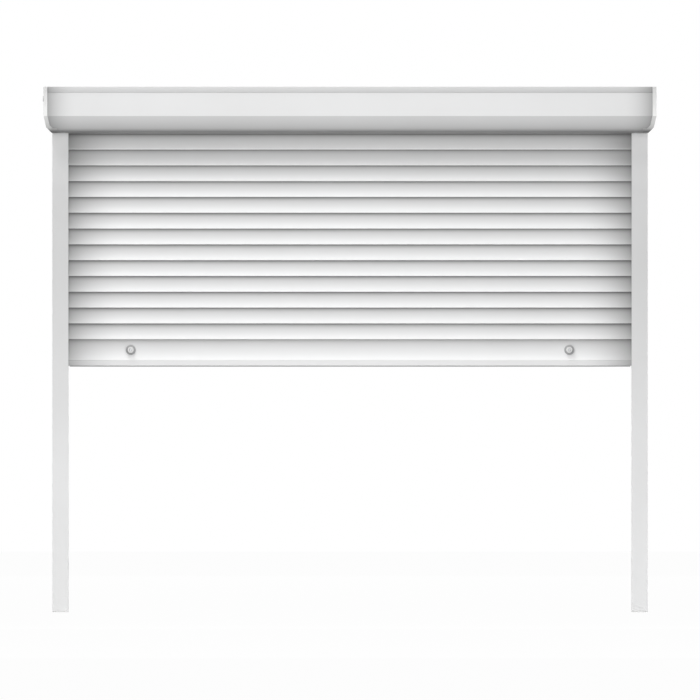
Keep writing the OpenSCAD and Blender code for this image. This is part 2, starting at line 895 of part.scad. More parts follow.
// Idler in the right end: capsule, pin, bearing and the holder on the end cap
module idler_capsule() {
    color(MOTOR_BLACK)
    difference() {
        union() {
            octagon_on_axis(x_tube - capsule_w, x_tube + eps, tube_seat);
            on_axis(x_tube, x_tube + capsule_collar_t, tube_af / 2);
        }
        on_axis(x_tube - pin_in, x_tube + capsule_w, idler_pin_d / 2 + run_gap);
    }
}

module idler_pin() {
    color(STEEL) on_axis(x_tube - pin_in, x_bearing + bearing_w, idler_pin_d / 2);
}

module ball_bearing() {
    color(STEEL)
    difference() {
        on_axis(x_bearing, x_bearing + bearing_w, bearing_d / 2);
        on_axis(x_bearing - eps, x_bearing + bearing_w + eps, idler_pin_d / 2 + run_gap);
        // Raceway between the two rings, seen as a groove on both faces
        for (x = [x_bearing - eps, x_bearing + bearing_w - race_depth]) difference() {
            on_axis(x, x + race_depth + eps, bearing_d / 2 - outer_ring_t);
            on_axis(x - eps, x + race_depth + 2 * eps, idler_pin_d / 2 + inner_ring_t);
        }
    }
}

module bearing_holder() {
    color(ZINC)
    difference() {
        union() {
            on_axis(x_bearing, x_skin, bearing_d / 2 + holder_wall);
            on_axis(x_skin - bracket_t, x_skin, bracket_d / 2);
        }
        on_axis(x_bearing - eps, x_bearing + bearing_w, bearing_d / 2 + run_gap);
        on_axis(x_bearing, x_skin - bracket_t, idler_pin_d / 2 + holder_relief);
    }
}

box_shell();
front_panel();
end_cap_left();
end_cap_right();
panel_screws();
cable_grommet();
on_left() rail_base();  // rail_base_left
rail_base();  // rail_base_right
on_left() rail_cover();  // rail_cover_left
rail_cover();  // rail_cover_right
on_left() rail_seals();  // rail_seals_left
rail_seals();  // rail_seals_right
on_left() infeed_funnel();  // infeed_funnel_left
infeed_funnel();  // infeed_funnel_right
on_left() rail_foot();  // rail_foot_left
rail_foot();  // rail_foot_right
motor_bracket();
motor_head();
motor_body();
motor_shaft();
drive_crown();
limit_ring();
winding_tube();
wound_slats();
slat_hangers();
idler_capsule();
idler_pin();
ball_bearing();
bearing_holder();
infeed_slats();
for (i = [1:slat_count]) slat(i);
foam_cores();
end_locks();
bottom_bar();
bar_seal();
on_left() bar_plug();  // bar_plug_left
bar_plug();  // bar_plug_right
stopper_at(-1);  // stopper_left
stopper_at(1);  // stopper_right
stopper_screws();
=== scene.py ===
# %% [markdown]
# An exterior roller shutter, dressed for a portrait
#
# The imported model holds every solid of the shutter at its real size. This lesson gives each surface
# its finish, adds the small pieces that a solid model leaves plain, and lights the whole for a
# straight frontal portrait. Everything is in metres, with Z up and the wall behind at y = 0.

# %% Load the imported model
import bmesh
import bpy
import json
import math
from mathutils import Matrix, Vector

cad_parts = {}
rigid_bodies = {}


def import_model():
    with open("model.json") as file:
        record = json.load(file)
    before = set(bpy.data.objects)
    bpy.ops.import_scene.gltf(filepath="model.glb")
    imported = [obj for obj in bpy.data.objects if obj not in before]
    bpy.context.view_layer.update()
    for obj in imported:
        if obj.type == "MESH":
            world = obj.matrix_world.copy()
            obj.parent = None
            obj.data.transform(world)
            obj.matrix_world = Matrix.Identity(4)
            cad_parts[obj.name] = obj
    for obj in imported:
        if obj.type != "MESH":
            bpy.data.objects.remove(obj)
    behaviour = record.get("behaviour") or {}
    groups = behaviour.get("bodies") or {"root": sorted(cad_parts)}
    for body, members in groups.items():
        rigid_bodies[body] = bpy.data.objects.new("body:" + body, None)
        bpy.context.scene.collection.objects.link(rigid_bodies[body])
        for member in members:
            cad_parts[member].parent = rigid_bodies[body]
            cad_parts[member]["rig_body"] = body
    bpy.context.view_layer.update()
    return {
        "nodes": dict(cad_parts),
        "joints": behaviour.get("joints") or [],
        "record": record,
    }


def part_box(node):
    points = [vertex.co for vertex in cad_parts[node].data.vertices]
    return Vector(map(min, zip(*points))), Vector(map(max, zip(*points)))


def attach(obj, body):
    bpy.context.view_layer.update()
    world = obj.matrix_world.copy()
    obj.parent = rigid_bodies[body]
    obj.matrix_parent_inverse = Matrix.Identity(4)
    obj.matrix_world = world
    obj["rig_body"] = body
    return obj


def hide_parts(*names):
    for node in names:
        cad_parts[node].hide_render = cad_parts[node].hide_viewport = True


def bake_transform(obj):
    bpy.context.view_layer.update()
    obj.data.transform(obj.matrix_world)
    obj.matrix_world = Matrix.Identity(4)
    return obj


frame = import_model()

# %% [markdown]
# Measuring before dressing
#
# A piece that is added later has to sit on the solids, so its place is read from them. A node's box
# gives its lowest and highest corner, and a few of them give the heights and planes used below.

# %% Places read from the solids
SLAT = "slat_"
slat_names = sorted(name for name in frame["nodes"] if name.startswith(SLAT) and name[len(SLAT):].isdigit())
slat_low, slat_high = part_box(slat_names[0])
slat_pitch = slat_low.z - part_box(slat_names[1])[0].z
curtain_top = slat_low.z + slat_pitch
box_low, box_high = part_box("box_shell")
rail_low, rail_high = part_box("rail_cover_left")
foot_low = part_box("rail_foot_left")[0]
print("slats:", len(slat_names), "pitch", round(slat_pitch, 4), "curtain top", round(curtain_top, 4))

# %% [markdown]
# The camera
#
# The portrait is taken square on, from far away, so that upright edges stay upright and the box
# hides its own underside. A camera without perspective could do it. A long lens at a long distance
# does nearly the same and still is a normal camera. One pixel of the 700 pixel frame is a fixed
# length in the plane of the rails, which sets the lens.

# %% Long lens, square on
IMAGE_PX = 700
BOX_TOP_PX = 87.5
FOOT_PX = 612.0
CAMERA_DISTANCE = 40.0
CLIP_END = 200.0
metres_per_px = (box_high.z - foot_low.z) / (FOOT_PX - BOX_TOP_PX)
centre_z = box_high.z - (IMAGE_PX / 2 - BOX_TOP_PX) * metres_per_px
camera_data = bpy.data.cameras.new("portrait_camera")
camera_data.sensor_width = 36.0
camera_data.lens = camera_data.sensor_width * CAMERA_DISTANCE / (IMAGE_PX * metres_per_px)
camera_data.clip_end = CLIP_END
camera = bpy.data.objects.new("portrait_camera", camera_data)
camera.location = (0.0, rail_low.y - CAMERA_DISTANCE, centre_z)
camera.rotation_euler = (math.radians(90), 0, 0)
bpy.context.collection.objects.link(camera)
bpy.context.scene.camera = camera
print("frame height in metres:", round(IMAGE_PX * metres_per_px, 3), "lens", round(camera_data.lens, 1))

# %% [markdown]
# Floor and light
#
# A pale floor lies under the feet of the rails. The world is white where the camera, a reflection or
# a clear surface sees it, and only a soft grey where it lights the shutter, so the background is pale
# without more light on the paint. One small lamp would throw hard shadows, and the portrait has soft
# ones, so four wide panels of light do the rest: one high in front draws the shade under each lip, one
# fills in from the front, one lights the back, and a low strip brightens the feet of the rails. The
# camera doesn't see the panels themselves.

# %% World
AMBIENT = 0.34
AMBIENT_TINT = (0.97, 0.985, 1.0, 1.0)


def any_seen(tree):
    """1 for rays from the camera, from a reflection or through a clear surface, and 0 for the rest."""
    paths = tree.nodes.new("ShaderNodeLightPath")
    seen = paths.outputs["Is Camera Ray"]
    for label in ("Is Glossy Ray", "Is Transmission Ray"):
        either = tree.nodes.new("ShaderNodeMath")
        either.operation = "MAXIMUM"
        tree.links.new(seen, either.inputs[0])
        tree.links.new(paths.outputs[label], either.inputs[1])
        seen = either.outputs[0]
    return seen


world = bpy.data.worlds.new("pale_studio")
bpy.context.scene.world = world
world.use_nodes = True
tree = world.node_tree
tree.nodes.clear()
white = tree.nodes.new("ShaderNodeBackground")
white.inputs["Color"].default_value = (1.0, 1.0, 1.0, 1.0)
ambient = tree.nodes.new("ShaderNodeBackground")
ambient.inputs["Color"].default_value = AMBIENT_TINT
ambient.inputs["Strength"].default_value = AMBIENT
choose = tree.nodes.new("ShaderNodeMixShader")
tree.links.new(any_seen(tree), choose.inputs["Fac"])
tree.links.new(ambient.outputs[0], choose.inputs[1])
tree.links.new(white.outputs[0], choose.inputs[2])
sky = tree.nodes.new("ShaderNodeOutputWorld")
tree.links.new(choose.outputs[0], sky.inputs["Surface"])
bpy.context.scene.view_settings.view_transform = "Standard"
print("world:", world.name, "strength", AMBIENT)

# %% Lamps
def lamp(name, place, target, size, power):
    """A rectangular panel of light that faces a target point."""
    data = bpy.data.lights.new(name, "AREA")
    data.shape = "RECTANGLE"
    data.size, data.size_y = size
    data.energy = power
    panel = bpy.data.objects.new(name, data)
    panel.location = place
    aim = Vector(target) - Vector(place)
    panel.rotation_euler = aim.to_track_quat("-Z", "Y").to_euler()
    panel.visible_camera = False
    bpy.context.collection.objects.link(panel)
    print("lamp:", name, power, "W")


lamp("high_panel", place=(-1.4, -3.4, 4.6), target=(0.0, 0.0, 0.2), size=(3.6, 2.0), power=104.0)
lamp("front_panel_light", place=(0.0, -6.0, -0.1), target=(0.0, 0.0, 0.05), size=(5.0, 4.0), power=205.0)
lamp("back_panel_light", place=(0.0, 6.0, 1.2), target=(0.0, 0.0, 0.0), size=(5.0, 4.0), power=130.0)
lamp("low_panel", place=(0.0, -2.4, -0.6), target=(0.0, 0.0, -0.7), size=(2.6, 0.4), power=14.0)

# %% Floor
FLOOR_SIZE = 24.0
FLOOR_DROP = 0.0005
FLOOR_COLOUR = (0.30, 0.30, 0.30, 1.0)
FLOOR_GLOW = 0.975
half = FLOOR_SIZE / 2
floor_z = foot_low.z - FLOOR_DROP
floor_mesh = bpy.data.meshes.new("floor")
floor_mesh.from_pydata(
    [(-half, -half, floor_z), (half, -half, floor_z), (half, half, floor_z), (-half, half, floor_z)],
    [], [(0, 1, 2, 3)])
floor = bpy.data.objects.new("floor", floor_mesh)
bpy.context.collection.objects.link(floor)
floor_paint = bpy.data.materials.new("pale_floor")
floor_paint.use_nodes = True
tree = floor_paint.node_tree
matt = tree.nodes["Principled BSDF"]
matt.inputs["Base Color"].default_value = FLOOR_COLOUR
matt.inputs["Roughness"].default_value = 0.9
glow = tree.nodes.new("ShaderNodeEmission")
glow_share = tree.nodes.new("ShaderNodeMath")
glow_share.operation = "MULTIPLY"
glow_share.inputs[1].default_value = FLOOR_GLOW
floor_mix = tree.nodes.new("ShaderNodeMixShader")
tree.links.new(any_seen(tree), glow_share.inputs[0])
tree.links.new(glow_share.outputs[0], floor_mix.inputs["Fac"])
tree.links.new(matt.outputs[0], floor_mix.inputs[1])
tree.links.new(glow.outputs[0], floor_mix.inputs[2])
tree.links.new(floor_mix.outputs[0], tree.nodes["Material Output"].inputs["Surface"])
floor_mesh.materials.append(floor_paint)
print("floor at z =", round(floor_z, 4))

# %% [markdown]
# Finishes, first step: effects that several finishes share
#
# Paint, plastic and rubber all age in the same few ways: the tone is a little cloudy, edges get rubbed,
# and dust settles on what faces up. One more group paints shade: the paint goes darker beside an upright
# neighbour. A painted picture could hold these marks, but it would fit one piece only. So each effect is
# worked out from a point's place and facing, in one node group with named sockets. A group only gives
# colours, masks and heights, and the shader itself stays in each material, where its constant values are
# set on its own sockets.

# %% Helpers that make groups and wire nodes
def node_group(name, inputs, outputs):
    """A shader node group with named inputs (name, kind, value) and outputs (name, kind)."""
    group = bpy.data.node_groups.new(name, "ShaderNodeTree")
    for label, kind, value in inputs:
        socket = group.interface.new_socket(label, in_out="INPUT", socket_type="NodeSocket" + kind)
        socket.default_value = value
    for label, kind in outputs:
        group.interface.new_socket(label, in_out="OUTPUT", socket_type="NodeSocket" + kind)
    return group, group.nodes.new("NodeGroupInput"), group.nodes.new("NodeGroupOutput")


def feed(tree, socket, operand):
    """Set a socket to a number or colour, or link it to another socket."""
    if isinstance(operand, (int, float, tuple)):
        socket.default_value = operand
    else:
        tree.links.new(operand, socket)


def math_node(tree, operation, *operands, clamp=False):
    """One Math node. Each operand is a socket or a number."""
    node = tree.nodes.new("ShaderNodeMath")
    node.operation = operation
    node.use_clamp = clamp
    for socket, operand in zip(node.inputs, operands):
        feed(tree, socket, operand)
    return node.outputs[0]


def ramp_between(tree, value, low, high, smooth=True):
    """0 below low, 1 above high, and a soft passage between. The ends are sockets or numbers."""
    node = tree.nodes.new("ShaderNodeMapRange")
    node.interpolation_type = "SMOOTHSTEP" if smooth else "LINEAR"
    feed(tree, node.inputs["Value"], value)
    feed(tree, node.inputs["From Min"], low)
    feed(tree, node.inputs["From Max"], high)
    return node.outputs["Result"]


def fall_between(tree, value, low, high, smooth=True):
    """1 below low, 0 above high, and a soft passage between."""
    return math_node(tree, "SUBTRACT", 1.0, ramp_between(tree, value, low, high, smooth))


def mixed(tree, share, first, second, blend="MIX"):
    """Mix two colours, which are sockets or tuples, by a socket or number."""
    node = tree.nodes.new("ShaderNodeMix")
    node.data_type = "RGBA"
    node.blend_type = blend
    colour_sockets = [socket for socket in node.inputs if socket.type == "RGBA"]
    for socket, operand in zip([node.inputs[0]] + colour_sockets, (share, first, second)):
        feed(tree, socket, operand)
    return next(socket for socket in node.outputs if socket.type == "RGBA")


def own_place(tree):
    """A point's place in the piece's own frame, in metres, split into x, y and z."""
    place = tree.nodes.new("ShaderNodeTexCoord").outputs["Object"]
    split = tree.nodes.new("ShaderNodeSeparateXYZ")
    tree.links.new(place, split.inputs[0])
    return place, split.outputs


print("helpers for node trees are ready")

# %% Cloudy tone
CLOUD_TINT = (0.86, 0.85, 0.82, 1.0)
tone, entry, leave = node_group(
    "cloudy_tone",
    [("Color", "Color", (0.8, 0.8, 0.8, 1.0)), ("Amount", "Float", 0.05), ("Scale", "Float", 3.0)],
    [("Color", "Color"), ("Mask", "Float")])
clouds = tone.nodes.new("ShaderNodeTexNoise")
clouds.inputs["Detail"].default_value = 5.0
clouds.inputs["Roughness"].default_value = 0.6
tone.links.new(own_place(tone)[0], clouds.inputs["Vector"])
tone.links.new(entry.outputs["Scale"], clouds.inputs["Scale"])
cloud_mask = ramp_between(tone, clouds.outputs["Fac"], low=0.3, high=0.7)
shaded = mixed(tone, 1.0, entry.outputs["Color"], CLOUD_TINT, "MULTIPLY")
cloud_share = math_node(tone, "MULTIPLY", cloud_mask, entry.outputs["Amount"])
tone.links.new(mixed(tone, cloud_share, entry.outputs["Color"], shaded), leave.inputs["Color"])
tone.links.new(cloud_mask, leave.inputs["Mask"])
print("group:", tone.name)

# %% Surface grain
grain, entry, leave = node_group(
    "surface_grain",
    [("Scale", "Float", 900.0), ("Stretch", "Vector", (1.0, 1.0, 1.0))],
    [("Height", "Float")])
stretch = grain.nodes.new("ShaderNodeVectorMath")
stretch.operation = "MULTIPLY"
grain.links.new(own_place(grain)[0], stretch.inputs[0])
grain.links.new(entry.outputs["Stretch"], stretch.inputs[1])
fine = grain.nodes.new("ShaderNodeTexNoise")
fine.inputs["Detail"].default_value = 2.0
grain.links.new(stretch.outputs[0], fine.inputs["Vector"])
grain.links.new(entry.outputs["Scale"], fine.inputs["Scale"])
grain.links.new(fine.outputs["Fac"], leave.inputs["Height"])
print("group:", grain.name)

# %% Rubbed edges
rubbed, entry, leave = node_group(
    "rubbed_edges", [("Radius", "Float", 0.0015), ("Amount", "Float", 0.5)], [("Mask", "Float")])
soft_edge = rubbed.nodes.new("ShaderNodeBevel")
soft_edge.samples = 4
rubbed.links.new(entry.outputs["Radius"], soft_edge.inputs["Radius"])
true_normal = rubbed.nodes.new("ShaderNodeNewGeometry")
agree = rubbed.nodes.new("ShaderNodeVectorMath")
agree.operation = "DOT_PRODUCT"
rubbed.links.new(soft_edge.outputs["Normal"], agree.inputs[0])
rubbed.links.new(true_normal.outputs["Normal"], agree.inputs[1])
bend = math_node(rubbed, "SUBTRACT", 1.0, agree.outputs["Value"])
patches = rubbed.nodes.new("ShaderNodeTexNoise")
patches.inputs["Scale"].default_value = 60.0
rubbed.links.new(own_place(rubbed)[0], patches.inputs["Vector"])
bent = ramp_between(rubbed, bend, low=0.03, high=0.25)
edge_mask = math_node(rubbed, "MULTIPLY", bent, entry.outputs["Amount"])
patchy = ramp_between(rubbed, patches.outputs["Fac"], low=0.35, high=0.6)
rubbed.links.new(math_node(rubbed, "MULTIPLY", edge_mask, patchy, clamp=True), leave.inputs["Mask"])
print("group:", rubbed.name)

# %% Settled dust
dust, entry, leave = node_group(
    "settled_dust", [("Amount", "Float", 0.3), ("Scale", "Float", 14.0)], [("Mask", "Float")])
facing = dust.nodes.new("ShaderNodeNewGeometry")
facing_parts = dust.nodes.new("ShaderNodeSeparateXYZ")
dust.links.new(facing.outputs["Normal"], facing_parts.inputs[0])
upward = ramp_between(dust, facing_parts.outputs["Z"], low=0.25, high=0.95)
specks = dust.nodes.new("ShaderNodeTexNoise")
specks.inputs["Detail"].default_value = 8.0
dust.links.new(own_place(dust)[0], specks.inputs["Vector"])
dust.links.new(entry.outputs["Scale"], specks.inputs["Scale"])
speck_mask = ramp_between(dust, specks.outputs["Fac"], low=0.2, high=0.8)
lying = math_node(dust, "MULTIPLY", upward, speck_mask)
dust_mask = math_node(dust, "MULTIPLY", lying, entry.outputs["Amount"], clamp=True)
dust.links.new(dust_mask, leave.inputs["Mask"])
print("group:", dust.name)

# %% Painted shade beside an upright neighbour
BESIDE_POWER = 2.2
beside, entry, leave = node_group(
    "painted_shade_beside_upright", [("Edge", "Float", 0.9), ("Reach", "Float", 0.2), ("Amount", "Float", 0.2)],
    [("Mask", "Float")])
across = math_node(beside, "ABSOLUTE", own_place(beside)[1]["X"])
clean_from = math_node(beside, "SUBTRACT", entry.outputs["Edge"], entry.outputs["Reach"])
near_edge = ramp_between(beside, across, clean_from, entry.outputs["Edge"], smooth=False)
near_curve = math_node(beside, "POWER", near_edge, BESIDE_POWER)
beside.links.new(math_node(beside, "MULTIPLY", near_curve, entry.outputs["Amount"]), leave.inputs["Mask"])
print("group:", beside.name)

# %% [markdown]
# Finishes, second step: the common build of a finish
#
# A finish could be a mix of several shaders. One Principled shader is easier to export, so the layers are
# mixed as colours before they reach it, in a fixed order: cloudy tone, rubbed edges, settled dust. A last
# group gives the fine height that catches the light: orange peel on baked paint, drawn lines on rolled
# slats, a spark texture on moulded plastic. A layer of painted shade can be laid over the colour
# afterwards, as often as a surface has shaded places.

# %% Finish and painted shade
DUST_COLOUR = (0.46, 0.44, 0.40, 1.0)
DUST_AMOUNT = 0.25
DUST_ROUGHNESS = 0.4
EDGE_AMOUNT = 0.4
CLOUD_ROUGHNESS = 0.08
GRAIN_STRENGTH = 0.6


def grey(level):
    """A neutral colour."""
    return (level, level, level)


def grouped(tree, group, values):
    """Place a node group in a material, with its own values."""
    node = tree.nodes.new("ShaderNodeGroup")
    node.node_tree = group
    for label, value in values.items():
        node.inputs[label].default_value = value
    return node


def finish(name, colour, roughness, tone_amount, grain_scale, grain_depth, edge_colour,
           stretch=(1.0, 1.0, 1.0), metallic=0.0, tone_scale=3.0):
    """A material with cloudy tone, rubbed edges, dust and grain. Returns it with its colour socket."""
    material = bpy.data.materials.new(name)
    material.use_nodes = True
    tree = material.node_tree
    shader = tree.nodes["Principled BSDF"]
    shader.inputs["Metallic"].default_value = metallic
    clouded = grouped(tree, tone, {"Color": colour + (1.0,), "Amount": tone_amount, "Scale": tone_scale})
    worn = grouped(tree, rubbed, {"Amount": EDGE_AMOUNT})
    dusty = grouped(tree, dust, {"Amount": DUST_AMOUNT})
    rubbed_colour = mixed(tree, worn.outputs["Mask"], clouded.outputs["Color"], edge_colour + (1.0,))
    dusted_colour = mixed(tree, dusty.outputs["Mask"], rubbed_colour, DUST_COLOUR)
    tree.links.new(dusted_colour, shader.inputs["Base Color"])
    uneven = math_node(tree, "MULTIPLY_ADD", clouded.outputs["Mask"], CLOUD_ROUGHNESS, roughness)
    dull = math_node(tree, "MULTIPLY", dusty.outputs["Mask"], DUST_ROUGHNESS)
    tree.links.new(math_node(tree, "ADD", uneven, dull, clamp=True), shader.inputs["Roughness"])
    height = grouped(tree, grain, {"Scale": grain_scale, "Stretch": stretch})
    bump = tree.nodes.new("ShaderNodeBump")
    bump.inputs["Distance"].default_value = grain_depth
    bump.inputs["Strength"].default_value = GRAIN_STRENGTH
    tree.links.new(height.outputs["Height"], bump.inputs["Height"])
    tree.links.new(bump.outputs["Normal"], shader.inputs["Normal"])
    return material, dusted_colour


def darken(material, colour, mask, shade):
    """Send the base colour through one more layer of painted shade, where the mask says so."""
    tree = material.node_tree
    painted_dark = mixed(tree, 1.0, colour, grey(shade) + (1.0,), "MULTIPLY")
    layered = mixed(tree, mask, colour, painted_dark)
    tree.links.new(layered, tree.nodes["Principled BSDF"].inputs["Base Color"])
    return layered


print("the build of a finish is ready")

# %% [markdown]
# Finishes, third step: white paint, and the shade painted onto it
#
# The shutter is white all over, so its shapes are read from small differences of grey. That grey lies
# beside the end caps and the rails, under each lip, on the flange, down the rails and on the apron that
# leans back at the foot of the box. Part of it is shadow, which the lamps give by themselves, and the rest
# is painted shade, laid into the colour of the paint. Every piece has other shaded places, so each gets a
# paint of its own. The masks are worked out from a point's place on the piece, and so the painted shade
# stays where it is when the piece is seen from another side.

# %% Baked white paint
finishes = {}


# The level of white differs from piece to piece, 0.75 to 0.84: lighter and darker copies of one paint, each
# set for how bright its piece renders, which is painted light and shade.
def baked_paint(name, white):
    """White baked paint, ready for a layer of painted shade of its own."""
    return finish(name, grey(white), roughness=0.38, tone_amount=0.10, grain_scale=700.0,
                  grain_depth=0.00012, edge_colour=grey(0.70), tone_scale=2.0)


finishes["coated_white"] = baked_paint("coated_white", 0.80)[0]
print("finish:", finishes["coated_white"].name)

# %% Painted shade that the panel, the shell and the caps share
APRON_H = 0.054
APRON_SHADE_LEAST = 0.38
APRON_SHADE_RISE = 0.24
APRON_SHADE_AT_EDGE = 0.45
APRON_SHADE_EDGE_POWER = 5.0
APRON_SHADE_GREY = 0.3
CAP_SIDE_REACH = 0.10
apron_top = box_low.z + APRON_H
panel_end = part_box("front_panel")[1].x


def height_in(tree):
    """Height of a point in the piece's own frame."""
    return own_place(tree)[1]["Z"]


def apron_painted_shade(tree):
    """Mask of the painted shade on the apron, which leans back and faces down: deeper further down and
    deepest at its lower edge.
    """
    below = math_node(tree, "LESS_THAN", height_in(tree), apron_top)
    down = fall_between(tree, height_in(tree), box_low.z, apron_top, smooth=False)
    even = math_node(tree, "MULTIPLY_ADD", down, APRON_SHADE_RISE, APRON_SHADE_LEAST)
    at_edge = math_node(tree, "MULTIPLY", math_node(tree, "POWER", down, APRON_SHADE_EDGE_POWER), APRON_SHADE_AT_EDGE)
    return math_node(tree, "MULTIPLY", math_node(tree, "ADD", even, at_edge), below, clamp=True)


def shade_beside_cap(tree):
    """Mask of the painted shade on the front of the box beside its end caps, where their rims stand proud."""
    side = grouped(tree, beside, {"Edge": panel_end, "Reach": CAP_SIDE_REACH, "Amount": 1.0})
    return side.outputs["Mask"]


print("apron from z =", round(box_low.z, 4), "to", round(apron_top, 4))

# %% Paint of the front panel
PANEL_SIDE_SHADE = 0.48
panel_paint, colour = baked_paint("panel_white", 0.75)
tree = panel_paint.node_tree
# Painted shade: darker beside the end caps and on the apron.
colour = darken(panel_paint, colour, shade_beside_cap(tree), PANEL_SIDE_SHADE)
darken(panel_paint, colour, apron_painted_shade(tree), APRON_SHADE_GREY)
print("finish:", panel_paint.name)

# %% Paint of the end caps
CAP_TOP_SHADE = 0.72
CAP_FOOT_H = 0.019
CAP_FOOT_SHADE = 0.5
cap_paint, colour = finish(
    "cap_white", (0.90, 0.90, 0.89), roughness=0.46, tone_amount=0.08, grain_scale=1400.0,
    grain_depth=0.00010, edge_colour=grey(0.90))
tree = cap_paint.node_tree
# Painted shade: darker towards the top of the cap, on the apron and towards its foot.
up_cap = ramp_between(tree, height_in(tree), apron_top, box_high.z, smooth=False)
colour = darken(cap_paint, colour, up_cap, CAP_TOP_SHADE)
colour = darken(cap_paint, colour, apron_painted_shade(tree), APRON_SHADE_GREY)
at_foot = fall_between(tree, height_in(tree), box_low.z, box_low.z + CAP_FOOT_H)
darken(cap_paint, colour, at_foot, CAP_FOOT_SHADE)
print("finish:", cap_paint.name)

# %% Paint of the box shell
FLANGE_H = 0.020
FLANGE_DEPTH = 0.014
FLANGE_SHADE_MOST = 0.8
FLANGE_SHADE_FADE = 0.5
FLANGE_SHADE = 0.62
SHELL_SIDE_SHADE = 0.52
shell_paint, colour = baked_paint("shell_white", 0.76)
tree = shell_paint.node_tree
# Painted shade on the flange, deepest at its lower edge where it stands back behind the top of the panel, and
# beside the end caps.
up_flange = ramp_between(tree, height_in(tree), box_high.z - FLANGE_H, box_high.z, smooth=False)
flange_shade_fade = math_node(tree, "MULTIPLY", up_flange, FLANGE_SHADE_FADE)
flange_painted_shade = math_node(tree, "SUBTRACT", FLANGE_SHADE_MOST, flange_shade_fade)
at_front = math_node(tree, "LESS_THAN", own_place(tree)[1]["Y"], box_low.y + FLANGE_DEPTH)
colour = darken(shell_paint, colour, math_node(tree, "MULTIPLY", flange_painted_shade, at_front), FLANGE_SHADE)
darken(shell_paint, colour, shade_beside_cap(tree), SHELL_SIDE_SHADE)
print("finish:", shell_paint.name)

# %% Paint of the rails
RAIL_SHADE_FULL_Z = 0.35
RAIL_SHADE_FADE_Z = 0.60
RAIL_SHADE = 0.73
rail_paint, colour = baked_paint("rail_white", 0.84)
tree = rail_paint.node_tree
# Painted shade down the rails: none at the foot, full from mid height up, and less again just under the box,
# where the box's own shadow falls.
up_rail = ramp_between(tree, height_in(tree), foot_low.z, RAIL_SHADE_FULL_Z, smooth=False)
below_box = fall_between(tree, height_in(tree), RAIL_SHADE_FADE_Z, box_low.z, smooth=False)
darken(rail_paint, colour, math_node(tree, "MULTIPLY", up_rail, below_box), RAIL_SHADE)
print("finish:", rail_paint.name)

# %% Paint of the rolled slats
LIP_SHADE_LEVEL = 0.50
CORNER_POWER = 9.0
CORNER_SHADE = 0.40
RAIL_SIDE_REACH = 0.2
RAIL_SIDE_SHADE = 0.42
UNDER_BOX = 0.018
BOX_CONTACT = 0.004
BOX_CONTACT_SHADE = 0.35
slat_inner_x = -rail_high.x


def rolled_paint(name):
    """White lacquer on rolled metal, with painted shade under each lip, in each seam and beside the rails.
    How deep the shade under a lip is comes from the attribute that the section of the slat writes."""
    material, colour = finish(
        name, grey(0.94), roughness=0.36, tone_amount=0.06, grain_scale=500.0, grain_depth=0.00008,
        edge_colour=grey(0.74), stretch=(0.02, 1.0, 1.0), tone_scale=1.6)
    tree = material.node_tree
    lip_shade = tree.nodes.new("ShaderNodeAttribute")
    lip_shade.attribute_name = "lip_shade"
    colour = darken(material, colour, lip_shade.outputs["Fac"], LIP_SHADE_LEVEL)
    # Painted shade: a thin dark line in each seam, right under the lip above.
    corner = math_node(tree, "POWER", lip_shade.outputs["Fac"], CORNER_POWER)
    colour = darken(material, colour, corner, CORNER_SHADE)
    # Painted shade: the slats go darker beside the rails.
    rail_side = grouped(tree, beside, {"Edge": slat_inner_x, "Reach": RAIL_SIDE_REACH, "Amount": 1.0})
    colour = darken(material, colour, rail_side.outputs["Mask"], RAIL_SIDE_SHADE)
    return material, colour


finishes["slat_white"] = rolled_paint("slat_white")[0]
payout_paint, colour = rolled_paint("payout_white")
tree = payout_paint.node_tree
# Painted contact shadow: the slats go dark just under the box.
near_box = ramp_between(tree, height_in(tree), box_low.z - UNDER_BOX, box_low.z - BOX_CONTACT)
darken(payout_paint, colour, near_box, BOX_CONTACT_SHADE)
print("finishes:", finishes["slat_white"].name, payout_paint.name)

# %% [markdown]
# Finishes, fourth step: plastics, rubber, metals and foam
#
# The small parts get no painted shade of their own. They differ in colour, gloss, grain and in whether
# they are metal, so one row of values for each is enough, and a loop makes them all.

# %% Plastics, rubber, metals and foam
for name, colour, roughness, tone_amount, grain_scale, grain_depth, edge_colour, metallic in (
        ("plastic_white", (0.80, 0.80, 0.79), 0.46, 0.08, 1400.0, 0.00010, (0.86, 0.86, 0.86), 0.0),
        ("rubber_black", (0.030, 0.030, 0.032), 0.62, 0.10, 1800.0, 0.00010, (0.075, 0.075, 0.078), 0.0),
        ("rubber_grey", (0.34, 0.34, 0.345), 0.62, 0.10, 1800.0, 0.00010, (0.42, 0.42, 0.42), 0.0),
        ("stopper_grey", (0.42, 0.42, 0.425), 0.48, 0.06, 1500.0, 0.00008, (0.58, 0.58, 0.58), 0.0),
        ("steel", (0.62, 0.63, 0.65), 0.32, 0.10, 900.0, 0.00006, (0.80, 0.80, 0.82), 1.0),
        ("zinc_sheet", (0.66, 0.68, 0.70), 0.40, 0.25, 90.0, 0.00010, (0.80, 0.81, 0.83), 1.0),
        ("black_plastic", (0.028, 0.028, 0.030), 0.45, 0.06, 1500.0, 0.00010, (0.07, 0.07, 0.075), 0.0),
        ("motor_tube", (0.62, 0.62, 0.64), 0.40, 0.08, 800.0, 0.00008, (0.70, 0.70, 0.72), 0.0),
        ("foam", (0.72, 0.60, 0.34), 0.85, 0.25, 600.0, 0.00060, (0.78, 0.68, 0.44), 0.0)):
    finishes[name] = finish(name, colour, roughness, tone_amount, grain_scale, grain_depth, edge_colour,
                            metallic=metallic)[0]
print("finishes:", sorted(finishes))

# %% Every solid takes the finish of its slot
slot_of = {part["node"]: part["material_slot"] for part in frame["record"]["subparts"]}
greyed = {"bar_seal": finishes["rubber_grey"], "cable_grommet": finishes["rubber_grey"]}
for name, solid in frame["nodes"].items():
    for material_slot in solid.material_slots:
        material_slot.material = greyed.get(name, finishes[slot_of[name]])
print("dressed solids:", len(slot_of))

